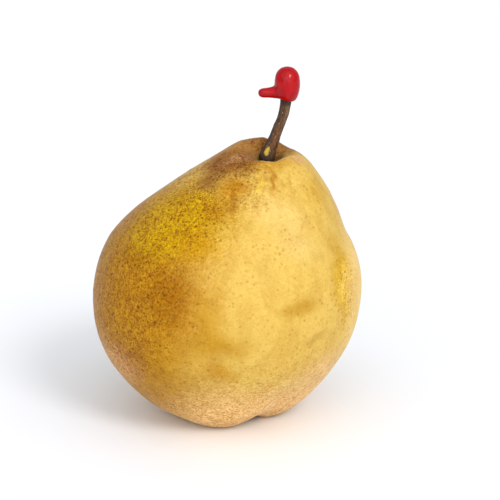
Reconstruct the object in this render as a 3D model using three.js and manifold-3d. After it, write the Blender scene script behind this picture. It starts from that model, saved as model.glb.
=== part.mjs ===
// A large round winter pear standing on its base lobes, with a woody stem whose cut end is sealed in wax.
// Millimetres, +Z up. The floor is z = 0 and the origin lies under the middle of the outline.
import * as THREE from "three";
import { mergeVertices } from "three/addons/utils/BufferGeometryUtils.js";
import Module from "manifold-3d";

const wasm = await Module();
wasm.setup();

// ---- flesh ----
// Half outline from the calyx basin's bottom, over the base rim, belly and crown, to the stem cavity's bottom.
const fleshOutline = [
  [0, 8],
  [4.5, 7],
  [9.5, 3],
  [14.8, -1],
  [26, 4.8],
  [36.5, 17.5],
  [42.5, 31],
  [43.8, 44],
  [41, 56.5],
  [34.1, 67.5],
  [25.5, 76.3],
  [18.2, 83],
  [13.2, 87.4],
  [9.3, 89.4],
  [6.2, 88.4],
  [3, 85.5],
  [0, 84.5],
];
const fleshRings = 48; // steps along the half outline
const fleshSectors = 72; // steps round the axis

// Furrows between the base lobes: direction in degrees, half width in degrees, depth.
const baseFurrows = [
  [-54, 19.5, 3.2],
  [48, 18, 2],
  [110, 18, 2.5],
  [165, 18, 2.2],
  [221, 25, 1.4],
];
// The stem cavity's rim, given the same way: low at the front and left, swollen at the back.
const rimFurrows = [
  [-130, 50, 2.4],
  [-75, 20, 0.8],
  [100, 46, -1.5],
];
// Where each change of the turned form sets in and where it is complete, in radius or height.
const baseFurrowRadii = [2, 10];
const baseFurrowHeights = [3, 26]; // the base furrows fade out between these
const rimFurrowRadii = [1, 8];
const rimFurrowHeights = [74, 88];
const tiltHeights = [64, 88];
const bellyHeights = [15, 60];
const crownHeights = [60, 88.6];
const baseHeights = [3, 30]; // the shift of the base fades out between these

const bellyLean = 1.75; // sideways shift of the belly over the base
const crownLean = 12.75; // further sideways shift of the crown
const crownTilt = Math.tan(THREE.MathUtils.degToRad(9.3)); // slope of the crown down to the right
const baseBack = 2.4; // backward shift of the base under the belly
const axisX = -1.1; // the base's axis, so that the whole outline is centred on the origin

// ---- stem ----
const stemPath = [
  [12.4, 0, 85.6],
  [13.1, 0, 87.6],
  [14.5, 0, 91.2],
  [16.1, 0.2, 95.4],
  [17.8, 0.3, 99.9],
  [18.9, 0.3, 105.2],
  [19.3, 0.3, 111.5],
];
// Radius against the share of the stem's length, from the flared foot to the cut end.
const stemOutline = [
  [0, 0],
  [1.7, 0],
  [2.7, 0.03],
  [2.5, 0.1],
  [2.05, 0.2],
  [1.7, 0.35],
  [1.6, 0.55],
  [1.75, 0.8],
  [1.8, 0.98],
  [1.5, 1],
  [0, 1],
];
const stemSectors = 20;
const stemTop = 100; // above this height the stem's clearance also lengthens it

// ---- sealing wax ----
const waxAxis = [19.3, 0.3];
const waxOutline = [
  [0, 105.3],
  [2.4, 105.3],
  [3, 106.2],
  [3.5, 107.6],
  [3.9, 109.6],
  [3.95, 111.8],
  [3.4, 114],
  [2.2, 115.6],
  [0.9, 116.15],
  [0, 116.25],
];
const waxSectors = 36;
const drip = { length: 8.5, height: 108.9, droop: 7, root: -0.6 }; // the set drip; droop in degrees
const dripSectors = 20;
// Radius of the drip against the share of its length.
const dripOutline = [
  [0, 0],
  [2.4, 0],
  [2.25, 0.35],
  [1.85, 0.5],
  [1.65, 0.62],
  [1.6, 0.73],
  [1.5, 0.82],
  [1.25, 0.9],
  [0.8, 0.96],
  [0, 1],
];
const waxGap = 0.3; // clearance round the stem inside the wax

// ---- dried calyx ----
const calyxCentre = [axisX, 2.3];
const calyxHeight = 7.4; // underside of the flesh at the calyx, less the gap
const sepalCount = 5;
const sepal = {
  length: 5.2,
  foot: 0.94, // half width at the ring
  belly: 1.6, // half width of the curve's control point
  bellyShare: 0.35, // its share of the length
  thickness: 0.5,
  cup: 0.06, // how far its edges rise, per square millimetre
  steepness: 78, // of its foot, in degrees
  curl: 62, // how far it bends outwards, in degrees
  drop: 0.72, // share of its fall that is kept
  ring: 2, // radius of the calyx ring
  height: 6.7,
  firstTurn: 20, // direction of the first one, in degrees
};
const stamenCount = 9;
const stamen = { length: 2.6, ring: 0.75, spreads: [14, 26] }; // spreads in degrees, by turns
const buttonOutline = [
  [0, -0.9],
  [0.7, -0.8],
  [1.15, -0.45],
  [1.2, 0],
  [0, 0],
];
const buttonSectors = 16;
// Radius of a thread against the share of its length, listed bottom to top.
const threadOutline = [
  [0, 1],
  [0.31, 0.92],
  [0.26, 0.82],
  [0.15, 0.7],
  [0.22, 0.12],
  [0, 0.12],
];
const threadSectors = 8;

// 0 below from, 1 above to, with a smooth step between.
function ramp([from, to], value) {
  return THREE.MathUtils.smoothstep(value, from, to);
}

// Total depth of a set of furrows at one direction round the axis.
function furrowDepth(furrows, angle) {
  let depth = 0;
  for (const [direction, width, deep] of furrows) {
    let away = angle - THREE.MathUtils.degToRad(direction);
    away = Math.atan2(Math.sin(away), Math.cos(away));
    depth += deep * Math.exp(-((away / THREE.MathUtils.degToRad(width)) ** 2));
  }
  return depth;
}

// Moves one point of the turned body to its place on the lobed, leaning fruit.
function growPoint(p) {
  const angle = Math.atan2(p.y, p.x);
  const radius = Math.hypot(p.x, p.y);
  const height = p.z;
  const atBase = ramp(baseFurrowRadii, radius) * (1 - ramp(baseFurrowHeights, height));
  const atRim = ramp(rimFurrowRadii, radius) * ramp(rimFurrowHeights, height);
  p.z += atBase * furrowDepth(baseFurrows, angle);
  p.z -= atRim * furrowDepth(rimFurrows, angle);
  p.z -= crownTilt * p.x * ramp(tiltHeights, height);
  p.z = Math.max(p.z, 0);
  p.x += axisX + bellyLean * ramp(bellyHeights, height) + crownLean * ramp(crownHeights, height);
  p.y += baseBack * (1 - ramp(baseHeights, height));
  return p;
}

// Applies a function to every vertex of a geometry and merges the seams.
function reshape(geometry, move) {
  const position = geometry.getAttribute("position");
  const p = new THREE.Vector3();
  for (let i = 0; i < position.count; i++) {
    p.fromBufferAttribute(position, i);
    move(p);
    position.setXYZ(i, p.x, p.y, p.z);
  }
  geometry.deleteAttribute("normal");
  geometry.deleteAttribute("uv");
  const merged = mergeVertices(geometry, 1e-3);
  merged.computeVertexNormals();
  return merged;
}

// A turned geometry with its axis along +Z, from [radius, height] pairs listed bottom to top.
function turned(outline, sectors) {
  const points = outline.map(([r, h]) => new THREE.Vector2(r, h));
  return new THREE.LatheGeometry(points, sectors).rotateX(Math.PI / 2);
}

function toSolid(geometry) {
  const plain = geometry.clone();
  plain.deleteAttribute("normal");
  plain.deleteAttribute("uv");
  const merged = mergeVertices(plain, 1e-4);
  return new wasm.Manifold(
    new wasm.Mesh({
      numProp: 3,
      vertProperties: merged.getAttribute("position").array,
      triVerts: new Uint32Array(merged.index.array),
    }),
  );
}

function fromSolid(solid) {
  const mesh = solid.getMesh();
  const geometry = new THREE.BufferGeometry();
  geometry.setAttribute("position", new THREE.BufferAttribute(mesh.vertProperties, 3));
  geometry.setIndex(new THREE.BufferAttribute(mesh.triVerts, 1));
  geometry.computeVertexNormals();
  return geometry;
}

function flesh() {
  const curve = new THREE.SplineCurve(fleshOutline.map(([r, h]) => new THREE.Vector2(r, h)));
  const outline = curve.getPoints(fleshRings).map((p) => [Math.max(p.x, 0), p.y]);
  outline[0][0] = 0;
  outline[fleshRings][0] = 0;
  return reshape(turned(outline, fleshSectors), growPoint);
}

// The stem's outline laid along its bent path; extra widens it and grows its free end.
function stemShape(extra) {
  const path = new THREE.CatmullRomCurve3(stemPath.map((p) => new THREE.Vector3(...p)));
  const outline = stemOutline.map(([r, share]) => [r > 0 ? r + extra : 0, share]);
  const side = new THREE.Vector3(0, 1, 0);
  return reshape(turned(outline, stemSectors), (p) => {
    const share = THREE.MathUtils.clamp(p.z, 0, 1);
    const centre = path.getPointAt(share);
    const along = path.getTangentAt(share);
    const across = new THREE.Vector3().crossVectors(side, along).normalize();
    const back = new THREE.Vector3().crossVectors(along, across);
    const [u, v] = [p.x, p.y];
    p.copy(centre).addScaledVector(across, u).addScaledVector(back, v);
    if (centre.z > stemTop) p.addScaledVector(along, extra);
  });
}

// A dome of wax over the stem's cut end, with the drip that set on its left side.
function waxShape() {
  const dome = turned(waxOutline, waxSectors).translate(waxAxis[0], waxAxis[1], 0);
  const sized = dripOutline.map(([r, share]) => [r, share * drip.length]);
  const run = turned(sized, dripSectors)
    .rotateY(-Math.PI / 2 - THREE.MathUtils.degToRad(drip.droop))
    .translate(waxAxis[0] + drip.root, waxAxis[1], drip.height);
  return fromSolid(toSolid(dome).add(toSolid(run)).subtract(toSolid(stemShape(waxGap))));
}

// One dried sepal: a pointed leaf that leaves the calyx ring and curls outwards.
function sepalShape(index) {
  const { length, foot, belly, bellyShare } = sepal;
  const leaf = new THREE.Shape();
  leaf.moveTo(0, -foot);
  leaf.quadraticCurveTo(length * bellyShare, -belly, length, 0);
  leaf.quadraticCurveTo(length * bellyShare, belly, 0, foot);
  leaf.closePath();
  const flat = new THREE.ExtrudeGeometry(leaf, {
    depth: sepal.thickness,
    bevelEnabled: false,
    curveSegments: 6,
  });
  const turn = THREE.MathUtils.degToRad((360 / sepalCount) * index + sepal.firstTurn);
  const start = THREE.MathUtils.degToRad(sepal.steepness);
  const curl = THREE.MathUtils.degToRad(sepal.curl);
  return reshape(flat, (p) => {
    const bend = (curl * p.x) / length;
    const out = sepal.ring + Math.cos(start - bend / 2) * p.x + Math.sin(start - bend) * p.z;
    const fall = Math.sin(start - bend / 2) * p.x - Math.cos(start - bend) * p.z;
    const side = p.y;
    p.set(
      calyxCentre[0] + out * Math.cos(turn) - side * Math.sin(turn),
      calyxCentre[1] + out * Math.sin(turn) + side * Math.cos(turn),
      sepal.height - fall * sepal.drop + side * side * sepal.cup,
    );
  });
}

// The withered stamens: a low button with short threads that splay downwards.
function stamenTuft() {
  let tuft = toSolid(turned(buttonOutline, buttonSectors));
  const thread = threadOutline.map(([r, share]) => [r, -share * stamen.length]);
  for (let i = 0; i < stamenCount; i++) {
    const lean = THREE.MathUtils.degToRad(stamen.spreads[i % 2]);
    const one = turned(thread, threadSectors)
      .rotateY(-lean)
      .translate(stamen.ring, 0, 0)
      .rotateZ((2 * Math.PI * i) / stamenCount);
    tuft = tuft.add(toSolid(one));
  }
  return fromSolid(tuft.translate([...calyxCentre, calyxHeight]));
}

const skinLook = { color: 0xd9a83a, roughness: 0.42, metalness: 0 };
const barkLook = { color: 0x5a3a20, roughness: 0.75, metalness: 0 };
const waxLook = { color: 0xa5101c, roughness: 0.15, metalness: 0 };
const calyxLook = { color: 0x3b2a1c, roughness: 0.85, metalness: 0 };

const group = new THREE.Group();

function place(name, geometry, look) {
  const mesh = new THREE.Mesh(geometry, new THREE.MeshStandardMaterial(look));
  mesh.name = name;
  group.add(mesh);
}

place("pear_body", flesh(), skinLook);
place("stem", stemShape(0), barkLook);
place("wax_seal", waxShape(), waxLook);
for (let i = 0; i < sepalCount; i++) {
  place(`sepal_${i + 1}`, sepalShape(i), calyxLook);
}
place("stamens", stamenTuft(), calyxLook);

export default group;
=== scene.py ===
"""A large round winter pear with its stem sealed in red wax, standing on a plain pale floor."""

import math

import bmesh
import bpy
from mathutils import Matrix, Vector, noise


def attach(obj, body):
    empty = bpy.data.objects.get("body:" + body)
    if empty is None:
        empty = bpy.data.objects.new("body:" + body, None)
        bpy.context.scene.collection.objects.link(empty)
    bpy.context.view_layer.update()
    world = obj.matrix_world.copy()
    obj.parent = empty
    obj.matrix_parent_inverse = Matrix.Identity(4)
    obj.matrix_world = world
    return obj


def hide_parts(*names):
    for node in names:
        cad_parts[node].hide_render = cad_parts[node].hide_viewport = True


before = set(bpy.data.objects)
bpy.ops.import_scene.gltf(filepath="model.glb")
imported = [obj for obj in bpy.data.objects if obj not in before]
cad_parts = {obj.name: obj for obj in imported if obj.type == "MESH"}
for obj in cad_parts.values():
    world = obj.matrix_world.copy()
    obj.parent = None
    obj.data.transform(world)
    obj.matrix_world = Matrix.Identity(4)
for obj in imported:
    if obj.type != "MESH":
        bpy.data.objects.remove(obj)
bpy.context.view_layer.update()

MM = 0.001  # every size below is in millimetres; pieces are scaled by this when they are finished

# ---- flesh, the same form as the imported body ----
# Half outline from the calyx basin over the base rim, belly and crown to the stem cavity's bottom.
FLESH_OUTLINE = [
    (0, 8),
    (4.5, 7),
    (9.5, 3),
    (14.8, -1),
    (26, 4.8),
    (36.5, 17.5),
    (42.5, 31),
    (43.8, 44),
    (41, 56.5),
    (34.1, 67.5),
    (25.5, 76.3),
    (18.2, 83),
    (13.2, 87.4),
    (9.3, 89.4),
    (6.2, 88.4),
    (3, 85.5),
    (0, 84.5),
]
FLESH_RINGS = 208
FLESH_SECTORS = 288
# Furrows: direction and half width in degrees, depth.
BASE_FURROWS = [(-54, 19.5, 3.2), (48, 18, 2), (110, 18, 2.5), (165, 18, 2.2), (221, 25, 1.4)]
RIM_FURROWS = [(-130, 50, 2.4), (-75, 20, 0.8), (100, 46, -1.5)]
BELLY_LEAN = 1.75
CROWN_LEAN = 12.75
CROWN_TILT = math.tan(math.radians(9.3))
BASE_BACK = 2.4
AXIS_X = -1.1
# Uneven swellings of the flesh: height, blotch size, where in the noise.
FLESH_SWELLS = [(0.3, 17, 3.1), (0.13, 7, 8.3), (0.035, 2.6, 5.7)]

# ---- stem ----
STEM_PATH = [
    (12.4, 0, 85.6),
    (13.1, 0, 87.6),
    (14.5, 0, 91.2),
    (16.1, 0.2, 95.4),
    (17.8, 0.3, 99.9),
    (18.9, 0.3, 105.2),
    (19.3, 0.3, 111.5),
]
# Share of the stem's length and radius there, from the flared foot to the cut end.
STEM_WIDTHS = [
    (0, 2.3),
    (0.03, 2.65),
    (0.1, 2.45),
    (0.2, 2.02),
    (0.35, 1.7),
    (0.55, 1.6),
    (0.7, 1.66),
    (0.8, 1.76),
    (0.98, 1.8),
    (1, 1.6),
]
STEM_LENGTH = 27.0
STEM_FOOT_SHADE = Vector((13.4, -0.4, 85.6))  # where painted shade darkens the crease round the foot
STEM_RINGS = 130
STEM_SECTORS = 72
# Old bud scars: share of the length, direction in degrees, height as a share of the radius.
STEM_KNOBS = [(0.46, 195, 0.1), (0.62, -20, 0.08), (0.3, 60, 0.1), (0.9, 170, 0.09)]
KNOB_WIDTH = 40
KNOB_LENGTH = 0.035

# ---- sealing wax ----
WAX_AXIS = Vector((19.3, 0.3, 0))
WAX_BOTTOM = 105.3
WAX_LEFT_LIFT = 1.05  # how much higher the bottom hangs on the drip's side
WAX_GRAIN = 0.2
WAX_SMOOTHINGS = 30
WAX_SWELL = 0.2  # gives back what the smoothing takes
WAX_RIPPLE = 0.07
# Radius and height of the dome.
WAX_OUTLINE = [
    (0, 105.3),
    (1.4, 105.3),
    (2.4, 105.5),
    (3, 106.3),
    (3.5, 107.6),
    (3.9, 109.6),
    (3.95, 111.8),
    (3.45, 114),
    (2.2, 115.6),
    (0.9, 116.15),
    (0, 116.25),
]
# Radius and share of the length of the drip.
DRIP_OUTLINE = [
    (0, 0),
    (2.3, 0),
    (2.1, 0.3),
    (1.75, 0.45),
    (1.52, 0.6),
    (1.46, 0.73),
    (1.42, 0.83),
    (1.25, 0.91),
    (0.75, 0.98),
    (0, 1),
]
DRIP_PATH = [(18.7, 0.3, 108.6), (16, 0.3, 108.15), (13.1, 0.3, 107.95), (10.05, 0.3, 107.85)]

# ---- dried calyx ----
SEPAL_LENGTH = 5.2
SEPAL_WIDTH = 2.6
SEPAL_COUNT = 5
SEPAL_THICKNESS = 0.32
SEPAL_START = math.radians(78)  # how steeply a sepal leaves the basin
SEPAL_CURL = 62.0
SEPAL_RING = 2.0
SEPAL_HEIGHT = 6.7
STAMENS = 11
# Radius and height of the button, then radius and share of the length of a thread.
BUTTON_OUTLINE = [(0, -0.9), (0.7, -0.8), (1.15, -0.45), (1.2, -0.1), (0, 0)]
THREAD_OUTLINE = [(0, 0), (0.2, 0), (0.15, 0.4), (0.13, 0.7), (0.24, 0.84), (0.27, 0.92), (0.16, 1), (0, 1)]
CALYX_CENTRE = Vector((-1.1, 2.3, 0))
CALYX_HEIGHT = 7.4

# ---- camera ----
CAMERA_HEIGHT_ANGLE = 16.0  # degrees above the horizon
CAMERA_DISTANCE = 650.0
CAMERA_LENS = 143.06
CAMERA_SENSOR = 36
CAMERA_AIM = Vector((7.43, 2.07, 55.23))

# ---- lamps and floor ----
# Name, the way it shines, how wide it is in degrees, strength.
LAMPS = [
    ("key", (-0.55, 0.85, -0.78), 20, 1.35),
    ("key_glow", (-0.55, 0.85, -0.78), 80, 0.85),
    ("left_fill", (0.4, 0.8, -0.9), 70, 0.6),
    ("low_fill", (0.05, 1, -0.05), 70, 1.1),
]
AIR_TONE = (0.97, 0.985, 1.0, 1)
AIR_STRENGTH = 0.62
FLOOR_TONE = (0.87, 0.885, 0.92)
FLOOR_HALF = 6000


# ---- shapes ----


def ramp(low, high, value):
    """0 at low, 1 at high, smooth between; low may be the larger."""
    share = min(max((value - low) / (high - low), 0.0), 1.0)
    return share * share * (3.0 - 2.0 * share)


def between(points, along):
    """A point of the smooth curve through the points, along counted in points."""
    last = len(points) - 1
    first = min(int(along), last - 1)
    t = along - first
    before = Vector(points[max(first - 1, 0)])
    start = Vector(points[first])
    end = Vector(points[first + 1])
    after = Vector(points[min(first + 2, last)])
    leave = (end - before) * 0.5
    arrive = (after - start) * 0.5
    return (
        (2 * start - 2 * end + leave + arrive) * t**3
        + (-3 * start + 3 * end - 2 * leave - arrive) * t**2
        + leave * t
        + start
    )


def spline(points, steps):
    """A smooth curve through the points, as steps + 1 points."""
    last = len(points) - 1
    return [between(points, step / steps * last) for step in range(steps + 1)]


def evened(points, steps):
    """A chain of points laid out again at even lengths."""
    reach = [0.0]
    for start, end in zip(points, points[1:]):
        reach.append(reach[-1] + (end - start).length)
    chain = []
    first = 0
    for step in range(steps + 1):
        wanted = reach[-1] * step / steps
        while first < len(points) - 2 and reach[first + 1] < wanted:
            first += 1
        share = (wanted - reach[first]) / (reach[first + 1] - reach[first])
        chain.append(points[first].lerp(points[first + 1], share))
    return chain


def width_at(widths, share):
    """The radius at a share of a length, from (share, radius) pairs."""
    for (low, near), (high, far) in zip(widths, widths[1:]):
        if share <= high:
            return near + (far - near) * ramp(low, high, share)
    return widths[-1][1]


def degrees_from(direction, angle):
    """Degrees from a direction in degrees to an angle in radians, between -180 and 180."""
    return (math.degrees(angle) - direction + 180.0) % 360.0 - 180.0


def furrow_depth(furrows, angle):
    """The depth that all the furrows have together at an angle."""
    depth = 0.0
    for direction, width, deep in furrows:
        away = degrees_from(direction, angle)
        depth += deep * math.exp(-((away / width) ** 2))
    return depth


def grow(point):
    """Moves a point of the turned body to its place on the lobed, leaning fruit."""
    angle = math.atan2(point.y, point.x)
    radius = math.hypot(point.x, point.y)
    height = point.z
    at_base = ramp(2, 10, radius) * (1.0 - ramp(3, 26, height))
    z = height + at_base * furrow_depth(BASE_FURROWS, angle)
    z -= ramp(1, 8, radius) * ramp(74, 88, height) * furrow_depth(RIM_FURROWS, angle)
    z -= CROWN_TILT * point.x * ramp(64, 88, height)
    x = point.x + AXIS_X + BELLY_LEAN * ramp(15, 60, height) + CROWN_LEAN * ramp(60, 88.6, height)
    y = point.y + BASE_BACK * (1.0 - ramp(3, 30, height))
    return Vector((x, y, max(z, 0.0)))


def on_skin(turn, height):
    """The place on the fruit's outside at a turn in degrees and a height on the turned body."""
    outside = [p for p in spline(FLESH_OUTLINE, FLESH_RINGS) if p.x > 8.5 and p.y > 0]
    nearest = min(outside, key=lambda p: abs(p.y - height) - 0.01 * p.x)
    angle = math.radians(turn)
    return grow(Vector((nearest.x * math.cos(angle), nearest.x * math.sin(angle), nearest.y)))


def turn_outline(outline, sectors):
    """A mesh turned round Z from (radius, height) points, listed bottom to top."""
    mesh = bmesh.new()
    chain = [mesh.verts.new((radius, 0.0, height)) for radius, height in outline]
    edges = [mesh.edges.new(pair) for pair in zip(chain, chain[1:])]
    bmesh.ops.spin(
        mesh,
        geom=chain + edges,
        cent=(0, 0, 0),
        axis=(0, 0, 1),
        angle=2 * math.pi,
        steps=sectors,
        use_merge=True,
    )
    bmesh.ops.remove_doubles(mesh, verts=mesh.verts[:], dist=1e-5)
    bmesh.ops.recalc_face_normals(mesh, faces=mesh.faces[:])
    return mesh


def finish_piece(mesh, name, finish, slot, *stands_for):
    """Turns a mesh in millimetres into a named piece that rides on the fruit."""
    mesh.transform(Matrix.Scale(MM, 4))
    data = bpy.data.meshes.new(name)
    mesh.to_mesh(data)
    mesh.free()
    data.shade_smooth()
    data.materials.append(finish)
    piece = bpy.data.objects.new(name, data)
    bpy.context.scene.collection.objects.link(piece)
    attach(piece, "root")
    if stands_for:
        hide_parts(*stands_for)
    return piece


# ---- finishes ----


def tone(red, green, blue):
    """A colour from its 0 to 255 values."""
    parts = [value / 255 for value in (red, green, blue)]
    return tuple(p / 12.92 if p <= 0.04045 else ((p + 0.055) / 1.055) ** 2.4 for p in parts)


class Number:
    """One number in a finish, which Python's own signs join into Math nodes."""

    def __init__(self, finish, socket):
        self.finish = finish
        self.socket = socket

    def join(self, operation, first, second):
        node = self.finish.node("ShaderNodeMath", {"operation": operation}, {0: first, 1: second})
        return Number(self.finish, node.outputs["Value"])

    def __add__(self, other):
        return self.join("ADD", self, other)

    def __radd__(self, other):
        return self.join("ADD", other, self)

    def __sub__(self, other):
        return self.join("SUBTRACT", self, other)

    def __rsub__(self, other):
        return self.join("SUBTRACT", other, self)

    def __mul__(self, other):
        return self.join("MULTIPLY", self, other)

    def __rmul__(self, other):
        return self.join("MULTIPLY", other, self)

    def most(self, other):
        return self.join("MAXIMUM", self, other)


class Finish:
    """A material being mixed: its colour is laid coat on coat, its relief height on height."""

    def __init__(self, name, ground, roughness, **constants):
        self.material = bpy.data.materials.new(name)
        self.material.use_nodes = True
        self.tree = self.material.node_tree
        self.shader = self.tree.nodes["Principled BSDF"]
        for socket, value in constants.items():
            self.shader.inputs[socket.replace("_", " ")].default_value = value
        self.shader.inputs["Roughness"].default_value = roughness
        self.colour = (*ground, 1.0)
        metres = self.node("ShaderNodeTexCoord").outputs["Object"]
        self.place = self.vector("SCALE", metres, Scale=1 / MM)
        self.relief = None

    def node(self, kind, settings=None, values=None):
        """Any node: its settings first, then the values or links of its sockets."""
        node = self.tree.nodes.new(kind)
        for setting, value in (settings or {}).items():
            setattr(node, setting, value)
        for socket, value in (values or {}).items():
            self.feed(node.inputs[socket], value)
        return node

    def feed(self, socket, value):
        if isinstance(value, Number):
            value = value.socket
        if isinstance(value, bpy.types.NodeSocket):
            self.tree.links.new(value, socket)
        else:
            socket.default_value = value

    def vector(self, operation, first, second=None, **named):
        values = {0: first, **named}
        if second is not None:
            values[1] = second
        node = self.node("ShaderNodeVectorMath", {"operation": operation}, values)
        return node.outputs["Vector"]

    def mapped(self, at, scale):
        """Coordinates drawn out where the scale is small."""
        return self.node("ShaderNodeMapping", None, {"Vector": at, "Scale": scale}).outputs["Vector"]

    def cloud(self, size, detail=2.0, at=None, roughness=0.5):
        """Soft noise between 0 and 1 whose blotches are about size across."""
        values = {"Vector": at or self.place, "Scale": 1 / size, "Detail": detail}
        values["Roughness"] = roughness
        node = self.node("ShaderNodeTexNoise", None, values)
        return Number(self, node.outputs["Fac"])

    def swirled(self, size, amount, at=None):
        """Coordinates pushed about by noise, so that what reads them gets wavering edges."""
        at = at or self.place
        values = {"Vector": at, "Scale": 1 / size, "Detail": 3.0}
        push = self.node("ShaderNodeTexNoise", None, values).outputs["Color"]
        push = self.vector("SUBTRACT", push, (0.5, 0.5, 0.5))
        return self.vector("ADD", at, self.vector("SCALE", push, Scale=amount * 2))

    def step(self, value, low, high):
        """0 at low, 1 at high, smooth between; low may be the larger."""
        settings = {"interpolation_type": "SMOOTHSTEP"}
        values = {"Value": value, "From Min": low, "From Max": high}
        node = self.node("ShaderNodeMapRange", settings, values)
        return Number(self, node.outputs["Result"])

    def patch(self, at, centre, reach, firm):
        """1 out to the firm share of the reach, 0 from the reach outwards, along x, y and z."""
        values = {"Vector": at, "Location": centre, "Scale": reach}
        local = self.node("ShaderNodeMapping", {"vector_type": "TEXTURE"}, values).outputs["Vector"]
        length = self.node("ShaderNodeVectorMath", {"operation": "LENGTH"}, {0: local})
        return self.step(Number(self, length.outputs["Value"]), 1.0, firm)

    def dots(self, spacing, radius, at=None, soft=0.5):
        """Round spots scattered through the solid, so that the surface cuts them at all sizes."""
        values = {"Vector": at or self.place, "Scale": 1 / spacing}
        node = self.node("ShaderNodeTexVoronoi", {"feature": "F1"}, values)
        away = Number(self, node.outputs["Distance"])
        share = radius / spacing
        return self.step(away, share, share * soft)

    def coat(self, tone_or_link, amount, blend="MIX"):
        """Lays a colour over what is there, as far as amount says."""
        colour = (*tone_or_link, 1.0) if isinstance(tone_or_link, tuple) else tone_or_link
        settings = {"data_type": "RGBA", "blend_type": blend}
        values = {0: amount, 6: self.colour, 7: colour}
        self.colour = self.node("ShaderNodeMix", settings, values).outputs[2]

    def raise_by(self, height):
        """Adds a height in millimetres to the relief."""
        self.relief = height if self.relief is None else self.relief + height

    def done(self):
        self.feed(self.shader.inputs["Base Color"], self.colour)
        if self.relief is not None:
            values = {"Height": self.relief, "Distance": MM}
            bump = self.node("ShaderNodeBump", None, values)
            self.feed(self.shader.inputs["Normal"], bump.outputs["Normal"])
        return self.material


# Grounds of the skin, each a soft-edged patch laid over the last: what it is, turn in degrees and
# height on the turned body, reach along x, y and z, how far in it is full, tone, strength.
SKIN_GROUNDS = [
    # Partly the skin's brown colour, partly painted shade on the side turned from the key light.
    ("brown side, partly painted shade", -160, 42, (53, 52, 52), 0.6, (180, 132, 22), 1.0),
    ("brown heart", -113, 53, (13, 12, 17), 0.0, (154, 100, 0), 0.85),
    ("brown brow of the side", -139, 64.5, (15, 12, 8), 0.0, (146, 94, 0), 0.85),
    # Partly brown skin, partly painted shade low on the left.
    ("brown foot of the side, partly painted shade", -137, 27, (14, 14, 12), 0.1, (158, 106, 34), 0.6),
    ("yellow left edge", -170, 58, (12, 14, 14), 0.2, (182, 140, 34), 0.7),
    ("olive shoulder", -136, 71, (29, 24, 18), 0.35, (195, 158, 6), 1.0),
    ("russet crown", 90, 90, (18, 17, 9), 0.5, (150, 106, 52), 0.95),
    ("russet bowl", -148, 89.4, (12, 9, 5), 0.5, (148, 102, 46), 0.95),
    ("russet left rim", 175, 87, (13, 13, 7), 0.3, (160, 116, 62), 0.85),
    ("russet lip", -154, 86, (17, 11, 7), 0.25, (142, 94, 34), 0.95),
    ("russet tongue", -143, 81, (8, 7, 7), 0.1, (140, 94, 36), 0.75),
    ("amber under the lip", -116, 81, (8, 8, 6), 0.1, (182, 126, 0), 0.85),
    ("burnt patch", -112, 75, (9, 8, 6), 0.1, (170, 118, 6), 0.7),
    ("burnt streak", -105, 77, (2.4, 9, 10), 0.0, (158, 106, 8), 0.75),
    ("gold under the belly", -92, 37, (16, 10, 7.5), 0.0, (172, 126, 14), 0.75),
    ("gold beside the middle", -98, 45, (9, 8, 15), 0.0, (176, 130, 20), 0.75),
    ("gold left of the middle", -110, 67, (10, 9, 10), 0.0, (184, 136, 0), 0.8),
    ("upper bruise", -59, 48, (12, 10, 5), 0.0, (170, 126, 26), 0.7),
    ("lower bruise", -49, 36.5, (9, 8, 2.2), 0.1, (166, 124, 50), 0.55),
    ("right band", -30, 56, (7, 11, 27), 0.2, (174, 130, 24), 0.7),
    ("right yellow", -28, 50, (8, 10, 23), 0.0, (218, 180, 50), 0.85),
    ("upper right gold", -34, 80, (9, 9, 9), 0.0, (186, 142, 30), 0.45),
    ("gold collar", -84, 88.6, (13, 6, 3), 0.1, (186, 136, 26), 0.6),
    ("pale streak", -96, 84, (2.0, 6, 8), 0.1, (216, 180, 70), 0.8),
    ("amber streak", -84, 85, (1.6, 6, 8), 0.1, (166, 112, 14), 0.8),
    ("pale shoulder", -70, 76, (14, 10, 10), 0.0, (216, 186, 112), 0.75),
    ("pale right of the middle", -55, 67, (12, 10, 11), 0.0, (212, 182, 112), 0.6),
    ("gold near the base", -92, 28, (9, 9, 5.5), 0.0, (176, 124, 14), 0.75),
    ("pale lower left", -152, 24, (16, 24, 13), 0.2, (212, 164, 104), 0.75),
    # Painted highlights: pale grey sheen on the crest of the cavity's lip, left and right.
    ("painted sheen on the left lip", -150, 87.6, (6, 4, 2.4), 0.1, (176, 136, 96), 0.7),
    ("painted sheen on the right lip", -25, 88.6, (7, 5, 2.8), 0.1, (198, 154, 110), 0.7),
    # Partly the skin's pale tone, partly painted sheen along the right edge.
    ("pale right side and painted sheen", -8, 40, (12, 26, 34), 0.5, (224, 190, 112), 0.85),
    ("pale lower right", -38, 23, (16, 16, 12), 0.1, (226, 186, 128), 0.7),
    ("calyx basin", 90, 0, (12, 17, 8), 0.4, (128, 88, 44), 0.8),
]
# Where the small dark spots are thickest, given the same way without name and tone.
SPOTTED = [
    (-140, 72, (32, 26, 22), 0.35, 1.0),
    (-160, 52, (50, 48, 50), 0.5, 0.9),
    (-105, 80, (12, 10, 14), 0.2, 0.6),
    (-140, 86, (17, 15, 8), 0.3, 0.9),
    (90, 90, (15, 14, 8), 0.4, 0.8),
    (180, 79, (20, 18, 12), 0.3, 0.8),
    (-28, 48, (12, 12, 20), 0.2, 0.4),
    (40, 60, (30, 30, 20), 0.2, 0.7),
    (130, 40, (30, 30, 30), 0.2, 0.6),
]


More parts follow.
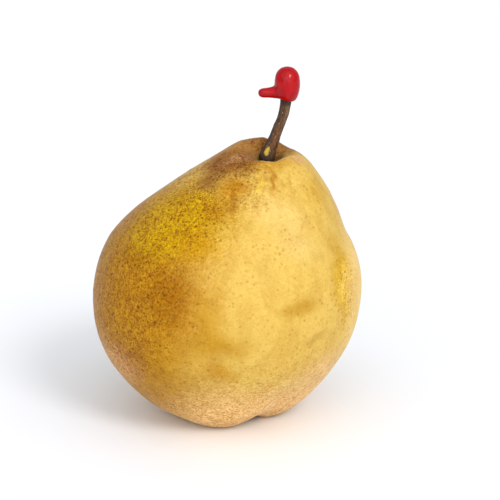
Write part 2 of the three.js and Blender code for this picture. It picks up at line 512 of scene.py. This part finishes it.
def skin_finish():
    skin = Finish(
        "pear_skin",
        tone(202, 168, 82),
        0.48,
        Specular_IOR_Level=0.08,
        Sheen_Weight=0.08,
        Sheen_Roughness=0.35,
        Subsurface_Weight=0.04,
        Subsurface_Scale=0.0015,
    )
    loose = skin.swirled(9, 4, skin.swirled(2.5, 1.1))
    apart = skin.node("ShaderNodeSeparateXYZ", None, {0: loose})
    height = Number(skin, apart.outputs["Z"])
    low = skin.step(height, 38, 5)
    high = skin.step(height, 68, 82)
    # Paler towards the bottom: partly the skin's tone, partly painted light bounced up from the floor.
    skin.coat(tone(236, 196, 130), skin.step(height, 27, 9))
    for _, turn, at_height, reach, firm, ground, strength in SKIN_GROUNDS:
        mask = skin.patch(loose, on_skin(turn, at_height), reach, firm)
        skin.coat(tone(*ground), mask * strength)

    # Painted shade: dark brown laid in the crease round the stem's foot.
    crease = skin.patch(loose, STEM_FOOT_SHADE, (7.5, 5, 4), 0.3)
    skin.coat(tone(74, 44, 20), crease * 0.85)

    spotted = None
    for turn, at_height, reach, firm, strength in SPOTTED:
        mask = skin.patch(loose, on_skin(turn, at_height), reach, firm) * strength
        spotted = mask if spotted is None else spotted.most(mask)
    weathered = spotted.most(low * 0.72)

    # Clouding of the ground at several sizes, from thumb-wide blotches to pin-head mottle.
    drawn = skin.mapped(skin.place, (1, 1, 0.55))
    broad = skin.step(skin.cloud(6, 3, drawn), 0.42, 0.66)
    skin.coat((0.84, 0.76, 0.58), broad * 0.5, "MULTIPLY")
    middle = skin.step(skin.cloud(2.2, 3, roughness=0.7), 0.46, 0.64)
    skin.coat((0.8, 0.67, 0.42), middle * (0.18 + weathered * 0.72), "MULTIPLY")
    flecks = skin.step(skin.cloud(1.3, 2, roughness=0.65), 0.5, 0.66)
    skin.coat((1.2, 1.28, 1.4), flecks * (0.2 + weathered * 0.8), "MULTIPLY")
    fine = skin.step(skin.cloud(0.7, 2, roughness=0.7), 0.46, 0.62)
    skin.coat((0.66, 0.54, 0.4), fine * (0.14 + weathered * 0.86), "MULTIPLY")
    pricks = skin.step(skin.cloud(0.4, 1), 0.48, 0.66)
    skin.coat((0.66, 0.55, 0.42), pricks * (0.1 + weathered * 0.75), "MULTIPLY")

    # An amber net that thins out from the spotted side towards the pale middle.
    net = skin.patch(loose, on_skin(-140, 60), (48, 46, 46), 0.5)
    strands = skin.step(skin.cloud(1.5, 3, roughness=0.7), 0.45, 0.6)
    skin.coat((0.95, 0.8, 0.42), strands * net * 0.6, "MULTIPLY")

    # Streaks that run down from the stem's cavity.
    runs = skin.mapped(skin.place, (1, 1, 0.16))
    amber = skin.step(skin.cloud(1.9, 3, runs), 0.5, 0.66)
    skin.coat((0.84, 0.7, 0.42), amber * high * 0.55, "MULTIPLY")
    bright = skin.step(skin.cloud(1.5, 2, runs), 0.56, 0.72)
    skin.coat((1.16, 1.22, 1.3), bright * high * 0.6, "MULTIPLY")

    # Corky dots, cut by the surface at all sizes and strung together here and there.
    wavering = skin.swirled(1.2, 0.5)
    big = skin.dots(1.8, 0.64, wavering, 0.3)
    small = skin.dots(1.1, 0.42, skin.swirled(0.8, 0.3), 0.4)
    sparse = skin.step(skin.cloud(4, 2), 0.4, 0.6)
    skin.coat((0.68, 0.5, 0.32), big * sparse * (0.6 - spotted * 0.2), "MULTIPLY")
    skin.coat((0.38, 0.24, 0.15), big * spotted * 0.65, "MULTIPLY")
    skin.coat((0.46, 0.31, 0.2), small * (0.15 + weathered * 0.73), "MULTIPLY")

    grain = skin.cloud(0.9, 2)
    skin.feed(skin.shader.inputs["Roughness"], 0.42 + grain * 0.12 + big * 0.15)
    skin.raise_by(skin.cloud(5, 2) * 0.15)
    skin.raise_by(grain * 0.06)
    skin.raise_by(big * 0.03)
    return skin.done()


def bark_finish():
    bark = Finish("stem_bark", tone(84, 58, 36), 0.62, Specular_IOR_Level=0.25)
    straight = bark.node("ShaderNodeAttribute", {"attribute_name": "straight"}).outputs["Vector"]
    loose = bark.swirled(1.2, 0.45, straight)
    fibres = bark.mapped(straight, (1, 1, 0.14))
    bark.coat(tone(112, 66, 28), bark.patch(loose, (0.4, -2, 9), (1.6, 3, 6), 0.3) * 0.85)
    bark.coat(tone(128, 96, 62), bark.patch(loose, (0.9, -1.2, 18), (0.9, 1.6, 6.5), 0.2) * 0.8)
    # Darker down the stem's left side: partly bark colour, partly painted shade on the side away from the
    # light.
    bark.coat(tone(50, 36, 30), bark.patch(loose, (-2.4, 0, 13), (1.8, 4, 17), 0.4) * 0.9)
    bark.coat(tone(122, 88, 56), bark.step(bark.cloud(0.5, 3, fibres, 0.65), 0.5, 0.66) * 0.6)
    bark.coat(tone(38, 26, 20), bark.step(bark.cloud(0.38, 3, fibres, 0.65), 0.47, 0.62) * 0.75)
    bark.coat(tone(60, 40, 26), bark.step(bark.cloud(0.45, 2, straight), 0.48, 0.62) * 0.6)
    bark.coat(tone(184, 154, 52), bark.patch(loose, (-0.85, -2.1, 3.7), (0.8, 1.4, 2.1), 0.55) * 0.95)
    bark.coat(tone(160, 134, 104), bark.dots(1.0, 0.2, bark.mapped(straight, (1, 1, 0.6))) * 0.7)
    apart = bark.node("ShaderNodeSeparateXYZ", None, {0: loose})
    along = Number(bark, apart.outputs["Z"])
    # Painted shade: darker at the foot, where the stem sits down in the cavity.
    bark.coat(tone(34, 24, 18), bark.step(along, 2.8, 1.2) * 0.9)
    bark.coat(tone(40, 22, 18), bark.step(along, 19.2, 20.2) * 0.75)
    bark.raise_by(bark.cloud(0.5, 3, fibres) * 0.28)
    bark.raise_by(bark.cloud(1.3, 2, straight) * 0.2)
    return bark.done()


def wax_finish():
    wax = Finish("red_wax", tone(160, 0, 10), 0.16, Specular_IOR_Level=0.23)
    deep = wax.step(wax.cloud(2.8, 2), 0.42, 0.66)
    wax.coat(tone(136, 0, 7), deep * 0.55)
    wax.coat(tone(180, 3, 20), wax.step(wax.cloud(1.6, 3), 0.56, 0.74) * 0.4)
    wax.feed(wax.shader.inputs["Roughness"], 0.05 + wax.cloud(1.2, 3) * 0.05)
    wax.raise_by(wax.cloud(0.5, 2) * 0.02)
    return wax.done()


def calyx_finish():
    calyx = Finish("dry_calyx", tone(74, 50, 32), 0.82, Specular_IOR_Level=0.2)
    lengthwise = calyx.mapped(calyx.place, (1, 1, 0.5))
    calyx.coat(tone(116, 84, 54), calyx.step(calyx.cloud(0.9, 3, lengthwise), 0.46, 0.66) * 0.7)
    calyx.coat(tone(38, 26, 18), calyx.step(calyx.cloud(0.5, 3), 0.48, 0.68) * 0.7)
    calyx.raise_by(calyx.cloud(0.45, 3) * 0.14)
    return calyx.done()


# ---- pieces ----


def ripple(point, size, seed):
    """Even noise between -1 and 1, blotches about size across."""
    return noise.noise(point / size + Vector((seed, seed * 1.7, -seed)))


def make_flesh():
    outline = [(max(p.x, 0.0), p.y) for p in spline(FLESH_OUTLINE, FLESH_RINGS)]
    outline[0] = (0.0, outline[0][1])
    outline[-1] = (0.0, outline[-1][1])
    mesh = turn_outline(outline, FLESH_SECTORS)
    for vert in mesh.verts:
        pucker = cavity_pucker(vert.co)
        vert.co = grow(vert.co)
        vert.co.z += pucker
    mesh.normal_update()
    swollen = []
    for vert in mesh.verts:
        swell = sum(high * ripple(vert.co, size, seed) for high, size, seed in FLESH_SWELLS)
        swollen.append(vert.co + vert.normal * swell * ramp(0.2, 6, vert.co.z))
    for vert, place in zip(mesh.verts, swollen):
        vert.co = place
        vert.co.z = max(place.z, 0.0)
    return mesh


def cavity_pucker(point):
    """Height of the creases that run from the stem cavity over its rim, and of those in the basin."""
    angle = math.atan2(point.y, point.x)
    radius = math.hypot(point.x, point.y)
    around = Vector((math.cos(angle), math.sin(angle), 0))
    if point.z > 60:
        crease = noise.noise(around * 2.6 + Vector((4, 0, radius * 0.05)))
        crease += 0.5 * noise.noise(around * 6.5 + Vector((0, 9, radius * 0.08)))
        return 0.3 * crease * ramp(2, 7, radius) * ramp(25, 9, radius)
    if point.z < 9:
        crease = noise.noise(around * 5 + Vector((0, 3, radius * 0.1)))
        return 0.5 * crease * ramp(2, 6, radius) * ramp(13.5, 8, radius)
    return 0.0


def lay_along(mesh, path, unit=1.0):
    """Lays a mesh that stands on z from 0 to unit along a path, x across it and y behind."""
    chain = evened(spline(path, 160), 240)
    last = len(chain) - 1
    for vert in mesh.verts:
        share = min(max(vert.co.z / unit, 0.0), 1.0)
        first = min(int(share * last), last - 1)
        centre = chain[first].lerp(chain[first + 1], share * last - first)
        along = chain[min(first + 3, last)] - chain[max(first - 3, 0)]
        along.normalize()
        across = Vector((0, 1, 0)).cross(along).normalized()
        back = along.cross(across)
        over = vert.co.z - share * unit
        vert.co = centre + across * vert.co.x + back * vert.co.y + along * over


def make_stem():
    outline = [(0.0, 0.0)]
    for ring in range(STEM_RINGS + 1):
        share = ring / STEM_RINGS
        outline.append((width_at(STEM_WIDTHS, share), share))
    outline.append((0.0, 1.0))
    mesh = turn_outline(outline, STEM_SECTORS)
    straight = mesh.verts.layers.float_vector.new("straight")
    for vert in mesh.verts:
        angle = math.atan2(vert.co.y, vert.co.x)
        share = vert.co.z
        round_it = Vector((math.cos(angle), math.sin(angle), 0))
        down = Vector((0, 0, share))
        ridge = 0.06 * noise.noise(round_it * 1.9 + down * 3.2)
        ridge += 0.045 * noise.noise(round_it * 5.5 + down * 5 + Vector((7, 0, 0)))
        ridge += 0.02 * noise.noise(round_it * 9 + down * 30 + Vector((0, 5, 0)))
        for at, direction, high in STEM_KNOBS:
            away = degrees_from(direction, angle)
            ridge += high * math.exp(-((away / KNOB_WIDTH) ** 2) - ((share - at) / KNOB_LENGTH) ** 2)
        vert.co.x *= 1 + ridge
        vert.co.y *= 1 + ridge
        vert[straight] = Vector((vert.co.x, vert.co.y, share * STEM_LENGTH))
    lay_along(mesh, STEM_PATH)
    bmesh.ops.recalc_face_normals(mesh, faces=mesh.faces[:])
    return mesh


def joined(meshes, grain):
    """One skin round several closed meshes, melted together."""
    data = bpy.data.meshes.new("melt")
    whole = bmesh.new()
    for mesh in meshes:
        mesh.to_mesh(data)
        whole.from_mesh(data)
        mesh.free()
    whole.to_mesh(data)
    whole.free()
    holder = bpy.data.objects.new("melt", data)
    bpy.context.scene.collection.objects.link(holder)
    remesh = holder.modifiers.new("melt", "REMESH")
    remesh.mode = "VOXEL"
    remesh.voxel_size = grain
    seen = holder.evaluated_get(bpy.context.evaluated_depsgraph_get())
    mesh = bmesh.new()
    mesh.from_mesh(seen.to_mesh())
    bpy.data.objects.remove(holder)
    bpy.data.meshes.remove(data)
    return mesh


def make_wax():
    dome = turn_outline([(p.x, p.y) for p in spline(WAX_OUTLINE, 48)], 48)
    dome.transform(Matrix.Translation(WAX_AXIS))
    run = turn_outline([(p.x, p.y) for p in spline(DRIP_OUTLINE, 40)], 32)
    lay_along(run, DRIP_PATH)
    mesh = joined([dome, run], WAX_GRAIN)
    for vert in mesh.verts:
        lowest = WAX_BOTTOM + WAX_LEFT_LIFT * ramp(2, -2.5, vert.co.x - WAX_AXIS.x)
        vert.co.z = max(vert.co.z, lowest)
    for _ in range(WAX_SMOOTHINGS):
        bmesh.ops.smooth_vert(
            mesh, verts=mesh.verts[:], factor=0.5, use_axis_x=True, use_axis_y=True, use_axis_z=True
        )
    mesh.normal_update()
    moved = []
    for vert in mesh.verts:
        swell = WAX_SWELL + WAX_RIPPLE * ripple(vert.co, 3.4, 2.2)
        moved.append(vert.co + vert.normal * swell)
    for vert, place in zip(mesh.verts, moved):
        vert.co = place
    bmesh.ops.recalc_face_normals(mesh, faces=mesh.faces[:])
    return mesh


def make_sepal(index):
    """One dried sepal, pointed, cupped and curled outwards, its edges wrinkled."""
    mesh = bmesh.new()
    bmesh.ops.create_grid(mesh, x_segments=22, y_segments=10, size=0.5)
    length = SEPAL_LENGTH * (1 + 0.12 * math.sin(index * 2.3))
    full = math.radians(SEPAL_CURL + 10 * math.cos(index * 1.9))
    for vert in mesh.verts:
        along = vert.co.x + 0.5
        side = vert.co.y * 2
        half = SEPAL_WIDTH * 0.5 * (0.72 + 0.5 * math.sin(along * 2.2)) * (1 - along**2.6) ** 0.8
        across = side * max(half, 0.02)
        bend = full * along * 0.5
        reach = math.cos(SEPAL_START - bend) * along * length
        drop = math.sin(SEPAL_START - bend) * along * length
        wrinkle = 0.16 * noise.noise(Vector((along * 3, side * 2.2, index * 5.0))) * along
        drop -= 0.22 * side * side * (1 - along) + wrinkle
        vert.co = Vector((SEPAL_RING + reach, across, SEPAL_HEIGHT - drop * 0.72))
    bmesh.ops.recalc_face_normals(mesh, faces=mesh.faces[:])
    bmesh.ops.solidify(mesh, geom=mesh.faces[:], thickness=SEPAL_THICKNESS)
    bmesh.ops.rotate(
        mesh,
        verts=mesh.verts[:],
        cent=(0, 0, 0),
        matrix=Matrix.Rotation(math.radians(360 / SEPAL_COUNT * index + 20), 3, "Z"),
    )
    mesh.transform(Matrix.Translation(CALYX_CENTRE))
    bmesh.ops.recalc_face_normals(mesh, faces=mesh.faces[:])
    return mesh


def make_stamens():
    """The withered button and its threads, hanging in the calyx."""
    whole = bmesh.new()
    data = bpy.data.meshes.new("threads")
    shapes = [turn_outline([(p.x, p.y) for p in spline(BUTTON_OUTLINE, 16)], 32)]
    for index in range(STAMENS):
        around = 2 * math.pi * index / STAMENS + 0.25 * math.sin(index * 3.7)
        out = Vector((math.cos(around), math.sin(around), 0))
        sweep = out * (0.9 + 0.35 * math.sin(index * 2.1))
        twist = Vector((-out.y, out.x, 0)) * 0.25 * math.cos(index * 4.3)
        path = [
            out * 0.7 + Vector((0, 0, -0.3)),
            out * 0.8 + Vector((0, 0, -1.0)),
            out * 0.8 + sweep * 0.4 + twist + Vector((0, 0, -1.7)),
            out * 0.8 + sweep * 0.9 + Vector((0, 0, -2.35)),
        ]
        thread = turn_outline(THREAD_OUTLINE, 10)
        lay_along(thread, path)
        shapes.append(thread)
    for shape in shapes:
        bmesh.ops.recalc_face_normals(shape, faces=shape.faces[:])
        shape.to_mesh(data)
        whole.from_mesh(data)
        shape.free()
    bpy.data.meshes.remove(data)
    whole.transform(Matrix.Translation(CALYX_CENTRE + Vector((0, 0, CALYX_HEIGHT))))
    return whole


# ---- studio ----


def make_lamp(name, towards, angle, strength):
    """A large soft source far away, shining towards a direction."""
    lamp = bpy.data.lights.new(name, "SUN")
    lamp.angle = math.radians(angle)
    lamp.energy = strength
    holder = bpy.data.objects.new(name, lamp)
    holder.rotation_euler = Vector(towards).to_track_quat("-Z", "Y").to_euler()
    bpy.context.scene.collection.objects.link(holder)


def make_studio():
    world = bpy.data.worlds.new("studio_air")
    bpy.context.scene.world = world
    world.use_nodes = True
    air = world.node_tree.nodes["Background"]
    air.inputs["Color"].default_value = AIR_TONE
    air.inputs["Strength"].default_value = AIR_STRENGTH
    for lamp in LAMPS:
        make_lamp(*lamp)
    paper = Finish("pale_floor", FLOOR_TONE, 0.6)
    mesh = bmesh.new()
    bmesh.ops.create_grid(mesh, x_segments=1, y_segments=1, size=FLOOR_HALF)
    mesh.transform(Matrix.Scale(MM, 4))
    data = bpy.data.meshes.new("floor")
    mesh.to_mesh(data)
    mesh.free()
    data.materials.append(paper.done())
    floor = bpy.data.objects.new("floor", data)
    bpy.context.scene.collection.objects.link(floor)


def make_camera():
    scene = bpy.context.scene
    data = bpy.data.cameras.new("camera")
    data.lens = CAMERA_LENS
    data.sensor_width = CAMERA_SENSOR
    camera = bpy.data.objects.new("camera", data)
    rise = math.radians(CAMERA_HEIGHT_ANGLE)
    back = Vector((0, -math.cos(rise), math.sin(rise)))
    camera.location = (CAMERA_AIM + back * CAMERA_DISTANCE) * MM
    camera.rotation_euler = (-back).to_track_quat("-Z", "Y").to_euler()
    scene.collection.objects.link(camera)
    scene.camera = camera


make_camera()
make_studio()
bpy.context.scene.view_settings.view_transform = "Standard"

flesh_finish = skin_finish()
calyx = calyx_finish()
finish_piece(make_flesh(), "flesh", flesh_finish, "skin", "pear_body")
finish_piece(make_stem(), "woody_stem", bark_finish(), "stem_bark", "stem")
finish_piece(make_wax(), "wax_cap", wax_finish(), "sealing_wax", "wax_seal")
for index in range(SEPAL_COUNT):
    name = f"sepal_{index + 1}"
    finish_piece(make_sepal(index), f"dried_{name}", calyx, "dry_calyx", name)
finish_piece(make_stamens(), "stamen_tuft", calyx, "dry_calyx", "stamens")
